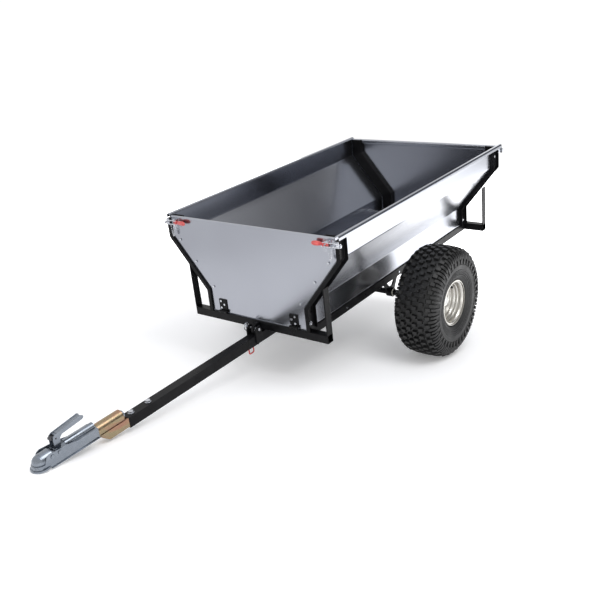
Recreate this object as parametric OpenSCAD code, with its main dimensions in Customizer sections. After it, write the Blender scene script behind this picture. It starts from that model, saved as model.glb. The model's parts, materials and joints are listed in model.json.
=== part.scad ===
// Tow behind tipping cart: sheet steel tub with two drop gates on a tipping frame, a round axle
// with two knobbly tyres, and a square drawbar with a swivelling ball coupler.
// The cart stands on both tyres and the nose of its coupler.
// Everything is modelled level about the axle's centre and pitched as one by place().

/* [Tub] */
// Half of the width over the rims
tub_half_w = 500; // [460:1:560]
// Half of the width of the flat floor, outside the sheet
floor_half_w = 282; // [250:1:300]
// Length over the two end crossbars
tub_len = 1636; // [1400:1:1900]
// Distance from the front crossbar's front face back to the axle
tub_front = 760; // [660:1:850]
// Height of the rim above the axle's centre
rim_z = 585; // [540:1:660]
// Height of the upper bend above the axle's centre
upper_bend_z = 473; // [430:1:500]
// Height of the lower bend above the axle's centre
lower_bend_z = 225; // [200:1:260]
// Thickness of the tub's sheet
sheet_t = 2; // [1.2:0.1:3]
// Width of the rolled rim
rim_w = 20; // [14:1:28]
// Radius of the tub's bends
bend_r = 12; // [8:1:14]

/* [Frame] */
// Outside size of the square crossbars and rails
bar = 39; // [30:1:42]
// Wall of the crossbars and rails
bar_t = 3; // [2:0.5:4]
// Height of the frame's underside above the axle's centre
frame_z = 73; // [68:1:90]
// Length of the front and rear crossbars
crossbar_len = 796; // [720:1:860]
// Depth of a corner strap along the tub
strap_d = 62; // [40:1:80]
// How far a corner strap stands off the wall
strap_w = 20; // [14:1:24]
// How far the rear straps stand ahead of the tub's rear end
rear_strap_gap = 46; // [0:1:60]

/* [Gates] */
// Gap between a gate and the tub around it
gate_gap = 3; // [2:0.5:6]
// Height of a gate's top edge below the rim
gate_drop = 10; // [6:1:30]
// Width of the black band inside each gate
band_w = 62; // [40:1:80]
// Depth of the gate's folded edge
gate_d = 26; // [14:1:30]
// Distance from a gate's outer face to its hinge pin
hinge_off = 8; // [7:0.5:12]
// Distance from the middle of the cart to a hinge
hinge_x = 213; // [150:1:230]

/* [Drawbar] */
// Outside size of the drawbar's square tube
draw = 45; // [40:1:46]
// Wall of the drawbar's tube
draw_t = 3; // [2:0.5:4]
// Distance from the axle to the drawbar tube's front end
draw_front = 1598; // [1400:1:1800]
// Length of the swivel housing
swivel_len = 126; // [100:1:150]
// Radius of the swivel housing
swivel_r = 26; // [22:0.5:28]
// Height of the swivel's axis above the drawbar's axis
swivel_rise = 40; // [38:0.5:46]

/* [Coupler] */
// Distance from the swivel housing to the middle of the tow ball
coupler_reach = 247; // [230:1:270]
// Radius of the tow ball's socket
ball_r = 25.3; // [24.2:0.1:26]
// Half of the coupler's width
coupler_half_w = 32; // [30:0.5:34]
// Depth of the coupler's nose below the swivel's axis
nose_drop = 8.5; // [6:0.5:12]
// Radius of the coupler's nose at its lip
nose_r = 38; // [34:0.5:44]

/* [Wheels] */
// Outer radius of a tyre
tyre_r = 279.5; // [250:0.5:300]
// Half of a tyre's width
tyre_half_w = 112; // [100:1:120]
// Distance from the middle of the cart to the middle of a wheel
wheel_x = 533.5; // [525:0.5:580]
// Radius of a rim's flange
flange_r = 117; // [110:1:125]
// Half of a rim's width over its flanges
rim_half_w = 95; // [85:1:98]
// Radius of the axle bar
axle_r = 15; // [12:0.5:15]
// Radius of a wheel's spindle
spindle_r = 12.5; // [9:0.5:12.5]

/* [Fits] */
// Radial clearance of a pin or shaft that turns
run_gap = 0.05; // [0.02:0.01:0.1]
// Clearance beside a part that turns
side_gap = 0.5; // [0.3:0.1:1]

/* [Hidden] */
$fn = 64;

// Heights and lengths that follow from the sizes above
floor_z = frame_z + bar;
tub_rear = tub_len - tub_front;
tub_mid = (tub_rear - tub_front) / 2;
wall_x = tub_half_w - rim_w;
draw_z = axle_r + draw / 2;
swivel_z = draw_z + swivel_rise;
swivel_front = draw_front + 20 + swivel_len;
ball_y = -(swivel_front + coupler_reach);
nose_z = swivel_z - nose_drop;
ball_z = nose_z + 25;
lip_h = 7;
nose_tip = -ball_y + nose_r;

// The cart's pitch puts the lip of the nose on the ground
pitch = asin(tyre_r / norm([nose_tip, nose_z])) + atan(nose_z / nose_tip);
front_reach = nose_tip * cos(pitch) + (nose_z + lip_h) * sin(pitch);
rear_reach = tub_rear * cos(pitch) - frame_z * sin(pitch);
origin_y = (front_reach - rear_reach) / 2;

// Gates and their hinges
hinge_z = floor_z + 9;
gate_face = tub_front - hinge_off;
gate_z = floor_z + sheet_t + gate_gap;
fold_z = gate_z + 10;
gate_top = rim_z - gate_drop;
pin_r = 4;
knuckle_r = 7;

// Latches at the gates' top corners
latch_z = rim_z - 37;
latch_x = wall_x - 36;
bail_arm = 16;
bail_out = 20;
grip_len = 72;
peg_x = wall_x + strap_w / 2;
wire_r = 2.5;

// Coupler
lever_y = ball_y + 68;
jaw_y = ball_y + 36;
rivet_z = swivel_z + 27;
coupler_t = 3;
shank_r = 12;

// Tip lock
lock_y = -(tub_front + 33);
lock_z = draw_z + draw / 2 + 28;
lock_r = 6.5;

BLACK = [0.06, 0.06, 0.07];
ZINC = [0.62, 0.66, 0.72];
GALV = [0.66, 0.67, 0.71];
RED = [0.72, 0.2, 0.2];
YELLOW_ZINC = [0.82, 0.72, 0.5];
RUBBER = [0.09, 0.09, 0.1];
SILVER = [0.8, 0.8, 0.8];

// ---- Outline helpers ----

// A corner b between a and c, replaced by an arc of radius r in n steps
function arc_corner(a, b, c, r, n) =
    let (u = (a - b) / norm(a - b), v = (c - b) / norm(c - b), half = acos(u * v) / 2,
        centre = b + (u + v) / norm(u + v) * r / sin(half), first = b + u * r / tan(half) - centre,
        turn = (cross(u, v) > 0 ? 1 : -1) * (180 - 2 * half))
    [for (i = [0 : n]) let (t = -turn * i / n)
        centre + [first.x * cos(t) - first.y * sin(t), first.x * sin(t) + first.y * cos(t)]];

// An open path with every inner corner rounded
function rounded(p, r, n = 5) = [p[0],
    for (i = [1 : len(p) - 2]) each arc_corner(p[i - 1], p[i], p[i + 1], r, n), p[len(p) - 1]];

// The path's offset to its right by d, mitred at the corners
function shifted(p, d) = [for (i = [0 : len(p) - 1])
    let (a = p[max(i - 1, 0)], b = p[i], c = p[min(i + 1, len(p) - 1)],
        u = i > 0 ? (b - a) / norm(b - a) : (c - b) / norm(c - b),
        v = i < len(p) - 1 ? (c - b) / norm(c - b) : u, m = u + v)
    b + [m.y, -m.x] / (m * m) * 2 * d];

function reversed(p) = [for (i = [len(p) - 1 : -1 : 0]) p[i]];
function mirrored(p) = [for (q = reversed(p)) [-q.x, q.y]];

// A strip between two offsets of one path, with the corners of each side rounded by r
module strip(p, d0, d1, r = 0) {
    a = shifted(p, d0);
    b = shifted(p, d1);
    polygon(r > 0 ? concat(rounded(a, r), reversed(rounded(b, r))) : concat(a, reversed(b)));
}

// ---- Placing helpers ----

module place() {
    translate([0, origin_y, tyre_r]) rotate([pitch, 0, 0]) children();
}
// An outline in x and z, extruded from y0 to y1
module along_y(y0, y1) {
    translate([0, y1, 0]) rotate([90, 0, 0]) linear_extrude(y1 - y0) children();
}
// An outline in y and z, extruded from x0 to x1
module along_x(x0, x1) {
    translate([x0, 0, 0]) rotate([90, 0, 90]) linear_extrude(x1 - x0) children();
}
module block(lo, hi) {
    translate(lo) cube(hi - lo);
}
module rod_x(x0, x1, y, z, r) {
    translate([x0, y, z]) rotate([0, 90, 0]) cylinder(h = x1 - x0, r = r);
}
module rod_y(y0, y1, x, z, r) {
    translate([x, y0, z]) rotate([-90, 0, 0]) cylinder(h = y1 - y0, r = r);
}
module both_sides() {
    for (s = [0, 1]) mirror([s, 0, 0]) children();
}
// The front end's geometry, carried to the rear end
module rear_end() {
    translate([0, 2 * tub_mid, 0]) mirror([0, 1, 0]) children();
}
// A box section with an open inside
module box_x(x0, x1, y0, z0, size, t) {
    difference() {
        block([x0, y0, z0], [x1, y0 + size, z0 + size]);
        block([x0 - 1, y0 + t, z0 + t], [x1 + 1, y0 + size - t, z0 + size - t]);
    }
}
module box_y(y0, y1, x0, z0, size, t) {
    difference() {
        block([x0, y0, z0], [x0 + size, y1, z0 + size]);
        block([x0 + t, y0 - 1, z0 + t], [x0 + size - t, y1 + 1, z0 + size - t]);
    }
}
module hex_head(r, h) {
    cylinder(h = h, r = r, $fn = 6);
}

// ---- Tub ----

// The wall's outside, from the rim down to the middle of the floor
wall_path = [[wall_x, rim_z - sheet_t], [wall_x, upper_bend_z], [floor_half_w, lower_bend_z],
    [floor_half_w, floor_z]];
bent_wall = rounded(concat(wall_path, [[0, floor_z]]), bend_r);

module wall_strip(d0, d1) {
    strip(wall_path, d0, d1, bend_r);
}

module tub_shell() {
    rim_path = [[tub_half_w - sheet_t, rim_z - 20], [tub_half_w - sheet_t, rim_z - sheet_t],
        [wall_x, rim_z - sheet_t]];
    half = concat(rounded(rim_path, 5), [for (i = [1 : len(bent_wall) - 2]) bent_wall[i]]);
    color(GALV) place() along_y(-tub_front + 6, tub_rear - 6)
        strip(concat(half, mirrored(half)), 0, sheet_t);
}

module crossbar() {
    box_x(-crossbar_len / 2, crossbar_len / 2, -tub_front, frame_z, bar, bar_t);
}
module front_crossbar() { color(BLACK) place() crossbar(); }
module rear_crossbar() { color(BLACK) place() rear_end() crossbar(); }

module side_rails() {
    color(BLACK) place() both_sides()
        box_y(-tub_front + bar, tub_rear - bar, floor_half_w - bar, frame_z, bar, bar_t);
}

module cross_members() {
    inner = floor_half_w - bar;
    color(BLACK) place() for (y = [tub_mid - tub_len * 0.3, -bar - 8, tub_mid + tub_len * 0.27])
        box_x(-inner, inner, y, frame_z, bar, bar_t);
}

// Two V brackets hang the axle's bushes from the side rails
bracket_x = floor_half_w - bar / 2;
bush_r = axle_r + 5;
module axle_brackets() {
    reach = 74;
    color(BLACK) place() both_sides() {
        difference() {
            along_x(bracket_x - 4, bracket_x + 4) difference() {
                polygon([[-reach, frame_z], [-17, -14], [17, -14], [reach, frame_z]]);
                polygon([[-reach + 34, frame_z - 8], [-12, 32], [12, 32], [reach - 34, frame_z - 8]]);
            }
            rod_x(bracket_x - 20, bracket_x + 20, 0, 0, bush_r + 3);
        }
        difference() {
            rod_x(bracket_x - 16, bracket_x + 16, 0, 0, bush_r + 4);
            rod_x(bracket_x - 17, bracket_x + 17, 0, 0, bush_r);
        }
    }
}

module pivot_bushes() {
    color([0.85, 0.83, 0.76]) place() both_sides() difference() {
        rod_x(bracket_x - 18, bracket_x + 18, 0, 0, bush_r);
        rod_x(bracket_x - 19, bracket_x + 19, 0, 0, axle_r + run_gap);
    }
}

// A corner strap is a channel that follows the wall, with its web on the sheet
module corner_strap(y0, y1, top) {
    web = 3;
    difference() {
        along_y(y0, y1) intersection() {
            wall_strip(0, -strap_w);
            translate([0, floor_z]) square([tub_half_w + 1, top - floor_z]);
        }
        along_y(y0 + web, y1 - web) wall_strip(-web, -strap_w - 2);
    }
}
module front_corner_straps() {
    color(BLACK) place() both_sides()
        corner_strap(-tub_front, -tub_front + strap_d, rim_z - 22);
}
module rear_corner_straps() {
    rear = tub_rear - rear_strap_gap;
    color(BLACK) place() both_sides() corner_strap(rear - strap_d, rear, rim_z - 24);
}

// Flat posts close the triangles between the crossbar's ends and the slanted straps
module end_posts() {
    post_t = 6;
    outer = crossbar_len / 2;
    slope = (wall_x - floor_half_w) / (upper_bend_z - lower_bend_z);
    stand = (strap_w + 1) / cos(atan(slope));
    top = lower_bend_z + (outer - stand - floor_half_w) / slope;
    color(BLACK) place() both_sides() for (rear = [false, true])
        translate([0, rear ? 2 * tub_mid : 0, 0]) mirror([0, rear ? 1 : 0, 0])
            along_y(-tub_front, -tub_front + bar) polygon([[outer - post_t, floor_z],
                [outer, floor_z], [outer, top], [outer - post_t, top - post_t / slope]]);
}

// ---- Gates ----

module front_knuckles() {
    both_sides() {
        for (x = [-23, 8 + side_gap]) {
            rod_x(hinge_x + x, hinge_x + x + 15 - side_gap, -tub_front, hinge_z, knuckle_r);
            block([hinge_x + x, -tub_front - 5, floor_z],
                [hinge_x + x + 15 - side_gap, -tub_front + 5, hinge_z]);
        }
        rod_x(hinge_x - 23, hinge_x + 23, -tub_front, hinge_z, pin_r);
    }
}
module gate_hinge_knuckles() {
    color(BLACK) place() {
        front_knuckles();
        rear_end() front_knuckles();
    }
}

// The gate's outline follows the inside of the tub, one gap in from the sheet
function gate_side(low) = shifted([[wall_x, gate_top], wall_path[1], wall_path[2],
    [floor_half_w, low]], sheet_t + gate_gap);
gate_path = gate_side(fold_z);
gate_edge = rounded(concat(gate_side(gate_z), [[0, gate_z]]), bend_r);
gate_outline = [for (i = [0 : len(gate_edge) - 2]) gate_edge[i]];

module gate_sheet() {
    along_y(-gate_face, -gate_face + sheet_t)
        polygon(concat(gate_outline, mirrored(gate_outline)));
    both_sides() along_y(-gate_face, -gate_face + gate_d - 2) strip(gate_path, 0, sheet_t, bend_r);
    block([-gate_edge[0].x, -gate_face, gate_top - sheet_t],
        [gate_edge[0].x, -gate_face + 14, gate_top]);
    block([-gate_edge[0].x, -gate_face + 12, gate_top - 24],
        [gate_edge[0].x, -gate_face + 14, gate_top]);
}
module gate_frame() {
    difference() {
        both_sides() {
            along_y(-gate_face + gate_d - 2, -gate_face + gate_d + 1) strip(gate_path, 0, band_w, bend_r);
            along_y(-gate_face + sheet_t, -gate_face + gate_d - 1)
                strip(gate_path, band_w - 3, band_w, bend_r);
        }
        block([-tub_half_w, -gate_face + 1, gate_top - 24],
            [tub_half_w, -gate_face + 14, gate_top + 1]);
    }
}
module gate_hinges() {
    leaf_t = 4;
    both_sides() {
        difference() {
            union() {
                block([hinge_x - 23, -gate_face - leaf_t, hinge_z + knuckle_r + 1],
                    [hinge_x + 23, -gate_face, hinge_z + 61]);
                block([hinge_x - 8, -gate_face - leaf_t, hinge_z - 2],
                    [hinge_x + 8, -gate_face, hinge_z + knuckle_r + 2]);
                rod_x(hinge_x - 8, hinge_x + 8, -tub_front, hinge_z, knuckle_r);
            }
            rod_x(hinge_x - 9, hinge_x + 9, -tub_front, hinge_z, pin_r + run_gap);
            for (b = hinge_bolts)
                rod_y(-gate_face - leaf_t - 1, -gate_face + 1, hinge_x + b.x, hinge_z + b.y, 3.2);
        }
    }
}
hinge_bolts = [[9, 52], [-11, 36], [9, 18]];
band_bolts = [[-36, upper_bend_z - 116], [-34, lower_bend_z + 15], [-34, latch_z - 90]];
// A bolt sits a little way in from the wall at its own height
function wall_at(z) = z > upper_bend_z ? wall_x : z < lower_bend_z ? floor_half_w
    : floor_half_w + (wall_x - floor_half_w) * (z - lower_bend_z) / (upper_bend_z - lower_bend_z);
module small_bolt(x, z, out) {
    rod_y(-gate_face - out, -gate_face, x, z, 3);
    translate([x, -gate_face - out, z]) rotate([90, 0, 0]) hex_head(6, 3.5);
}
module gate_bolts() {
    both_sides() {
        for (b = hinge_bolts) small_bolt(hinge_x + b.x, hinge_z + b.y, 4);
        for (b = band_bolts) small_bolt(wall_at(b.y) + b.x, b.y, 0.5);
    }
}
// A latch base is a channel bolted to the gate, whose ears hold the lever's pin
module latch_bases() {
    both_sides() {
        block([latch_x - 26, -gate_face - 3, latch_z - 14], [latch_x + 10, -gate_face, latch_z + 14]);
        for (z = [latch_z - 14, latch_z + 11]) difference() {
            block([latch_x - 8, -gate_face - 18, z], [latch_x + 8, -gate_face - 2, z + 3]);
            translate([latch_x, -gate_face - 12, z - 1]) cylinder(h = 5, r = 3);
        }
        translate([latch_x, -gate_face - 12, latch_z - 15]) cylinder(h = 30, r = 3);
    }
}
module front_gate_sheet() { color(GALV) place() gate_sheet(); }
module front_gate_frame() { color(BLACK) place() gate_frame(); }
module front_gate_hinges() { color(BLACK) place() gate_hinges(); }
module front_gate_bolts() { color(SILVER) place() gate_bolts(); }
module front_latch_bases() { color(SILVER) place() latch_bases(); }
module rear_gate_sheet() { color(GALV) place() rear_end() gate_sheet(); }
module rear_gate_frame() { color(BLACK) place() rear_end() gate_frame(); }
module rear_gate_hinges() { color(BLACK) place() rear_end() gate_hinges(); }
module rear_gate_bolts() { color(SILVER) place() rear_end() gate_bolts(); }
module rear_latch_bases() { color(SILVER) place() rear_end() latch_bases(); }

// The lever turns on the base's pin; its grip points to the middle of the gate
module latch_lever() {
    y = -gate_face - 12;
    difference() {
        union() {
            translate([latch_x, y, latch_z - 10.5]) cylinder(h = 21, r = 5);
            block([latch_x - 24, y - 5, latch_z - 4], [latch_x, y + 3, latch_z + 4]);
            block([latch_x - 30, y - 7, latch_z - 11], [latch_x - 20, y + 1, latch_z + 11]);
            translate([latch_x - bail_arm, y - 8, latch_z - 5]) cylinder(h = 10, r = 5);
            block([latch_x - grip_len, y - 9, latch_z - 12], [latch_x - 26, y + 3, latch_z + 12]);
            rod_y(y - 9, y + 3, latch_x - grip_len, latch_z, 12);
        }
        translate([latch_x, y, latch_z - 12]) cylinder(h = 24, r = 3 + run_gap);
        translate([latch_x - bail_arm, y - 8, latch_z - 12]) cylinder(h = 24, r = wire_r + run_gap);
    }
}
// The bail is a wire loop from the lever out over the keeper's peg
module latch_bail() {
    y = -gate_face - bail_out;
    x0 = latch_x - bail_arm;
    wide = 9;
    translate([x0, y, latch_z - wide]) cylinder(h = 2 * wide, r = wire_r);
    for (z = [-wide, wide]) {
        rod_x(x0, peg_x, y, latch_z + z, wire_r);
        translate([x0, y, latch_z + z]) sphere(wire_r);
    }
    translate([peg_x, y, latch_z]) rotate([90, 0, 0])
        rotate_extrude(angle = 180, start = -90) translate([wide, 0]) circle(wire_r);
}
module corner(name) {
    translate([0, name[0] == "r" ? 2 * tub_mid : 0, 0]) mirror([0, name[0] == "r" ? 1 : 0, 0])
        mirror([name[1] == "l" ? 1 : 0, 0, 0]) children();
}
module latch_lever_fl() { color(RED) place() corner("fl") latch_lever(); }
module latch_lever_fr() { color(RED) place() corner("fr") latch_lever(); }
module latch_lever_rl() { color(RED) place() corner("rl") latch_lever(); }
module latch_lever_rr() { color(RED) place() corner("rr") latch_lever(); }
module latch_bail_fl() { color(SILVER) place() corner("fl") latch_bail(); }
module latch_bail_fr() { color(SILVER) place() corner("fr") latch_bail(); }
module latch_bail_rl() { color(SILVER) place() corner("rl") latch_bail(); }
module latch_bail_rr() { color(SILVER) place() corner("rr") latch_bail(); }

// Each keeper is a plate on the tub's corner with a peg inside the bail's loop
module latch_keepers() {
    peg_len = hinge_off + 14;
    plate = 3;
    color(SILVER) place() both_sides() for (name = ["f", "r"]) corner(str(name, "r")) {
        block([wall_x + 1, -tub_front - plate, latch_z - 14],
            [wall_x + strap_w - 1, -tub_front, latch_z + 14]);
        rod_y(-tub_front - plate - peg_len, -tub_front, peg_x, latch_z, 4);
        if (name == "r")
            block([wall_x, -tub_front, latch_z - 14],
                [wall_x + 8, -tub_front + rear_strap_gap, latch_z + 14]);
    }
}

// ---- Tip lock ----

module latch_tongue() {
    y1 = -tub_front;
    color(BLACK) place() along_x(-8, 8) difference() {
        polygon([[y1, floor_z - 4], [y1 - 18, floor_z - 4], [lock_y - 14, lock_z + 8],
            [lock_y - 14, lock_z - 18], [y1, frame_z + 2]]);
        translate([lock_y, lock_z]) circle(lock_r + 1);
        translate([lock_y - lock_r - 1, lock_z - 40]) square([2 * lock_r + 2, 40]);
    }
}
module latch_lugs() {
    half = draw / 2;
    color(BLACK) place() both_sides() difference() {
        along_x(half, half + 6) polygon([[lock_y - 24, draw_z - 12], [lock_y - 24, lock_z - 4],
            [lock_y - 10, lock_z + 14], [lock_y + 10, lock_z + 14], [lock_y + 20, lock_z - 4],
            [lock_y + 20, draw_z - 12]]);
        rod_x(half - 1, half + 7, lock_y, lock_z, lock_r + run_gap);
    }
}
// The lock pin has a flat head and a pull ring
module tip_lock_pin() {
    end = draw / 2 + 10;
    color(SILVER) place() {
        rod_x(-end - 8, end, lock_y, lock_z, lock_r);
        rod_x(-end - 12, -end - 6, lock_y, lock_z, lock_r + 4);
        translate([-end - 12, lock_y, lock_z]) rotate([0, 90, 0])
            rotate_extrude() translate([18, 0]) circle(2.5);
        block([-end - 14, lock_y - 2, lock_z - 18], [-end - 10, lock_y + 2, lock_z + 18]);
    }
}
// A sleeve under the drawbar holds the release handle's bar, with a tab behind it
handle_y = lock_y - 38;
handle_r = 3.5;
handle_z = axle_r - 2 * handle_r;
module handle_tab() {
    color(BLACK) place() {
        along_x(-4, 4) polygon([[lock_y - 14, axle_r], [lock_y + 22, axle_r],
            [lock_y + 16, axle_r - 18], [lock_y - 6, axle_r - 9]]);
        difference() {
            union() {
                rod_y(handle_y - 12, handle_y + 12, 0, handle_z, 2 * handle_r);
                block([-2 * handle_r, handle_y - 12, handle_z], [2 * handle_r, handle_y + 12, axle_r]);
            }
            rod_y(handle_y - 13, handle_y + 13, 0, handle_z, handle_r + run_gap);
        }
    }
}
// A coated wire loop hangs below the drawbar and trips the lock
module release_handle() {
    half = 16;
    bend = 8;
    low = handle_z - 32;
    color(RED) place() {
        rod_y(handle_y - half, handle_y + half, 0, handle_z, handle_r);
        for (s = [0, 1]) translate([0, handle_y, 0]) mirror([0, s, 0]) {
            translate([0, half, low + bend]) cylinder(h = handle_z - low - bend, r = handle_r);
            translate([0, half, handle_z]) sphere(handle_r);
            translate([0, half - bend, low + bend]) rotate([90, 0, 90])
                rotate_extrude(angle = 90, start = -90) translate([bend, 0]) circle(handle_r);
            rod_y(0, half - bend, 0, low, handle_r);
        }
    }
}

module frame_bolts() {
    color(SILVER) place() both_sides() {
        for (y = [-tub_front + strap_d / 2, tub_rear - rear_strap_gap - strap_d / 2])
            for (z = [rim_z - 54, floor_z + 30])
                translate([wall_at(z) + 3, y, z]) rotate([0, 90, 0]) {
                    cylinder(h = 2, r = 9);
                    hex_head(7, 7);
                }
        for (y = [tub_mid - tub_len * 0.3, tub_mid, tub_mid + tub_len * 0.27])
            translate([floor_half_w, y, floor_z - bar / 2]) rotate([0, 90, 0]) hex_head(6, 4);
    }
}

// ---- Running gear ----

module axle_bar() {
    shoulder = wheel_x - 44;
    color(BLACK) place() {
        rod_x(-shoulder, shoulder, 0, 0, axle_r);
        rod_x(-wheel_x - 40, wheel_x + 40, 0, 0, spindle_r);
    }
}
module axle_nuts() {
    color(SILVER) place() both_sides() difference() {
        union() {
            rod_x(wheel_x + 26.5, wheel_x + 29, 0, 0, 19);
            translate([wheel_x + 29, 0, 0]) rotate([0, 90, 0]) hex_head(18, 9);
        }
        rod_x(wheel_x + 20, wheel_x + 50, 0, 0, spindle_r);
    }
}
// Side plates and a cap weld the drawbar's rear end onto the axle
module axle_saddle() {
    half = draw / 2;
    color(BLACK) place() both_sides() difference() {
        along_x(half, half + 6) polygon([[-60, draw_z + 14], [-60, draw_z - 10], [-24, -22], [24, -22],
            [32, draw_z + 14]]);
        rod_x(half - 1, half + 7, 0, 0, axle_r);
    }
}
module drawbar_tube() {
    color(BLACK) place() difference() {
        box_y(-draw_front, 34, -draw / 2, axle_r, draw, draw_t);
        for (y = clamp_bolts) translate([0, y, 0]) cylinder(h = 200, r = 6.5);
    }
}
clamp_bolts = [-draw_front + 33, -draw_front + 125];
module drawbar_bolts() {
    color(SILVER) place() for (y = clamp_bolts) translate([0, y, 0]) {
        translate([0, 0, axle_r - 14]) cylinder(h = draw + 14, r = 6);
        translate([0, 0, axle_r + draw]) cylinder(h = 2, r = 13);
        translate([0, 0, axle_r + draw + 2]) hex_head(11, 7);
        translate([0, 0, axle_r - 10]) hex_head(11, 10);
    }
}
// A plated channel carries the swivel housing and runs back into the drawbar
module swivel_bracket() {
    inner = draw / 2 - draw_t - 0.2;
    low = axle_r + draw_t + 0.2;
    high = axle_r + draw - draw_t - 0.2;
    color(YELLOW_ZINC) place() difference() {
        union() {
            along_x(-draw / 2, draw / 2) polygon([[-swivel_front + 12, high + 3],
                [-draw_front - 1, high + 3], [-draw_front - 1, low + 4], [-swivel_front + 44, low + 4],
                [-swivel_front + 12, high - 10]]);
            block([-inner, -draw_front - 2, low], [inner, -draw_front + 160, high]);
        }
        along_x(-inner + 5, inner - 5) polygon([[-swivel_front + 30, high - 5],
            [-draw_front + 170, high - 5], [-draw_front + 170, low - 1], [-swivel_front + 44, low - 1]]);
        rod_y(-swivel_front - 1, -draw_front + 1, 0, swivel_z, swivel_r);
        for (y = clamp_bolts) translate([0, y, 0]) cylinder(h = 200, r = 6.2);
    }
}
module swivel_housing() {
    color(YELLOW_ZINC) place() difference() {
        rod_y(-swivel_front, -swivel_front + swivel_len, 0, swivel_z, swivel_r);
        rod_y(-swivel_front - 1, -swivel_front + swivel_len + 1, 0, swivel_z, shank_r + run_gap);
    }
}

// ---- Coupler ----

// The shank turns in the swivel housing, held by a round nut behind it
module swivel_shank() {
    head = -swivel_front - side_gap;
    nut = -swivel_front + swivel_len + side_gap;
    color(ZINC) place() {
        rod_y(head - 40, nut + 12, 0, swivel_z, shank_r);
        rod_y(head - 4, head, 0, swivel_z, 20);
        rod_y(nut, nut + 10, 0, swivel_z, 17);
    }
}
module coupler_shell() {
    rear = -swivel_front - side_gap - 4;
    w = coupler_half_w;
    inner = w - coupler_t;
    low = swivel_z - 14.5;
    deck = swivel_z + 27;
    dome_r = ball_r + coupler_t;
    cheek = [[rear, low], [rear, deck], [ball_y + 150, deck], [ball_y + 112, deck + 8],
        [ball_y + 98, deck + 13], [ball_y + 72, deck + 12], [ball_y + 27, deck + 16],
        [ball_y + 12, deck + 10], [ball_y, nose_z + 20], [ball_y, nose_z], [ball_y + 20, low]];
    color(ZINC) place() difference() {
        union() {
            both_sides() {
                along_x(inner, w) polygon(cheek);
                block([w - 1, ball_y + 20, low], [w + 4, rear, low + 3]);
            }
            translate([0, ball_y, nose_z]) cylinder(h = lip_h, r = nose_r);
            translate([0, ball_y, nose_z]) cylinder(h = ball_z - nose_z - 4, r = nose_r - 6);
            translate([0, ball_y, ball_z]) sphere(dome_r);
            rod_y(ball_y, ball_y + 42, 0, ball_z, inner + 0.5);
            block([-w, ball_y + 108, deck - 3], [w, rear, deck]);
            rod_y(ball_y + 108, rear, 0, deck - 1, 17);
            block([-w, rear - 4, low], [w, rear, deck]);
        }
        translate([0, ball_y, ball_z]) sphere(ball_r);
        translate([0, ball_y, nose_z - 20]) cylinder(h = ball_z - nose_z + 20, r = ball_r);
        block([-nose_r, ball_y - nose_r, nose_z - 20], [nose_r, ball_y + 22, nose_z]);
        rod_y(ball_y + 22, ball_y + 43, 0, ball_z, ball_r);
        block([-inner, ball_y + 22, low - 9], [inner, ball_y + 43, ball_z]);
        block([-inner, ball_y + 42, low - 9], [inner, ball_y + 107, deck + 40]);
        block([-inner, ball_y + 42, low - 9], [inner, rear - 4, deck - 3]);
        rod_y(ball_y + 107, rear - 4, 0, deck - 1, 14);
        for (y = [lever_y, jaw_y]) rod_x(-w - 1, w + 1, y, rivet_z, 5);
        rod_y(rear - 30, rear + 1, 0, swivel_z, shank_r);
    }
}
module coupler_rivets() {
    color(ZINC) place() for (y = [lever_y, jaw_y]) {
        rod_x(-coupler_half_w, coupler_half_w, y, rivet_z, 5);
        both_sides() rod_x(coupler_half_w, coupler_half_w + 3, y, rivet_z, 8);
    }
}
// The lever's two cheeks rise from the pin, and its arm runs back over the body
catch_y = lever_y + 8;
catch_z = rivet_z + 46;
module coupler_lever() {
    cheek = [[-9, -6], [9, -8], [21, 8], [25, 40], [36, 50], [100, 56], [130, 59], [138, 64],
        [137, 72], [129, 77], [77, 71], [8, 62], [-3, 55], [-5, 38], [-5, 14]];
    web = [[18, 61], [77, 68.5], [128, 74.5], [134, 71], [135, 65], [129, 61.5], [132, 66], [127, 71.5],
        [77, 65.5], [18, 58]];
    color(ZINC) place() difference() {
        union() {
            both_sides() translate([0, lever_y, rivet_z]) along_x(11, 14) polygon(cheek);
            translate([0, lever_y, rivet_z]) along_x(-12, 12) polygon(web);
            both_sides() rod_x(10, 18, lever_y, rivet_z, 9);
        }
        rod_x(-30, 30, lever_y, rivet_z, 5 + run_gap);
        rod_x(-30, 30, catch_y, catch_z, 3);
    }
}
module ball_jaw() {
    color([0.35, 0.36, 0.38]) place() difference() {
        union() {
            rod_x(-11, 11, jaw_y, rivet_z, 9);
            along_x(-11, 11) polygon([[jaw_y - 8, rivet_z], [jaw_y + 9, rivet_z],
                [jaw_y + 4, nose_z + 4], [jaw_y - 13, nose_z + 4]]);
        }
        rod_x(-12, 12, jaw_y, rivet_z, 5 + run_gap);
        translate([0, ball_y, ball_z]) sphere(ball_r + 0.5);
        translate([0, ball_y, nose_z]) cylinder(h = ball_z - nose_z, r = ball_r + 0.5);
    }
}
// A sprung catch between the lever's cheeks stops it lifting by itself
module safety_catch() {
    color([0.2, 0.2, 0.22]) place() {
        rod_x(-15.5, 15.5, catch_y, catch_z, 3 - run_gap);
        along_x(-9, 9) polygon([[catch_y - 6, catch_z - 8], [catch_y + 5, catch_z - 6],
            [catch_y + 6, catch_z + 7], [catch_y - 10, catch_z + 11], [catch_y - 19, catch_z + 8],
            [catch_y - 20, catch_z + 1]]);
    }
}

// ---- Wheels ----

module about_x(x) {
    translate([x, 0, 0]) rotate([0, 90, 0]) rotate_extrude($fn = 96) children();
}
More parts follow.
